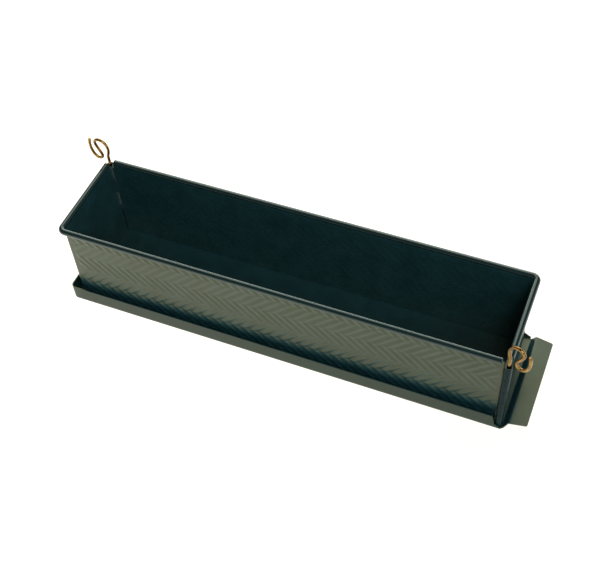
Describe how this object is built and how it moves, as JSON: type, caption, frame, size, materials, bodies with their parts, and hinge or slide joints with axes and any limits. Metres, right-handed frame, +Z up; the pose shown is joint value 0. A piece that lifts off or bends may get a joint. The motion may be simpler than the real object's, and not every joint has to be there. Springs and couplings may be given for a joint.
{
  "type": "collapsible loaf mould",
  "caption": "Long rectangular sheet-metal trough of two L-shaped embossed sides pinned at opposite corners, standing in a shallow tray with a pull tab.",
  "frame": {"origin": "centre of the rim in plan, on the underside of the base tray", "axes": "+X along the mould towards the pull tab, +Y across it away from the viewer, +Z up"},
  "size_m": [0.3877, 0.0902, 0.1008],
  "materials": {
    "tray_steel": "dark olive non-stick coating, satin",
    "coated_steel": "dark olive non-stick coating, satin",
    "core_wire": "drawn wire",
    "brass_wire": "drawn, bright"
  },
  "bodies": {
    "tray": {"base_tray": "tray_steel"},
    "side_frame": {"front_left_side": "coated_steel", "front_left_rim_wire": "core_wire", "rear_right_side": "coated_steel", "rear_right_rim_wire": "core_wire"},
    "front_pin": {"front_right_pin": "brass_wire"},
    "rear_pin": {"rear_left_pin": "brass_wire"}
  },
  "joints": [
    {"name": "frame_lift", "type": "slide", "parent": "tray", "child": "side_frame", "axis": [0, 0, 1], "range_m": [0, 0.12]},
    {"name": "front_pin_pull", "type": "slide", "parent": "side_frame", "child": "front_pin", "axis": [0, 0, 1], "range_m": [0, 0.08]},
    {"name": "rear_pin_pull", "type": "slide", "parent": "side_frame", "child": "rear_pin", "axis": [0, 0, 1], "range_m": [0, 0.08]}
  ]
}
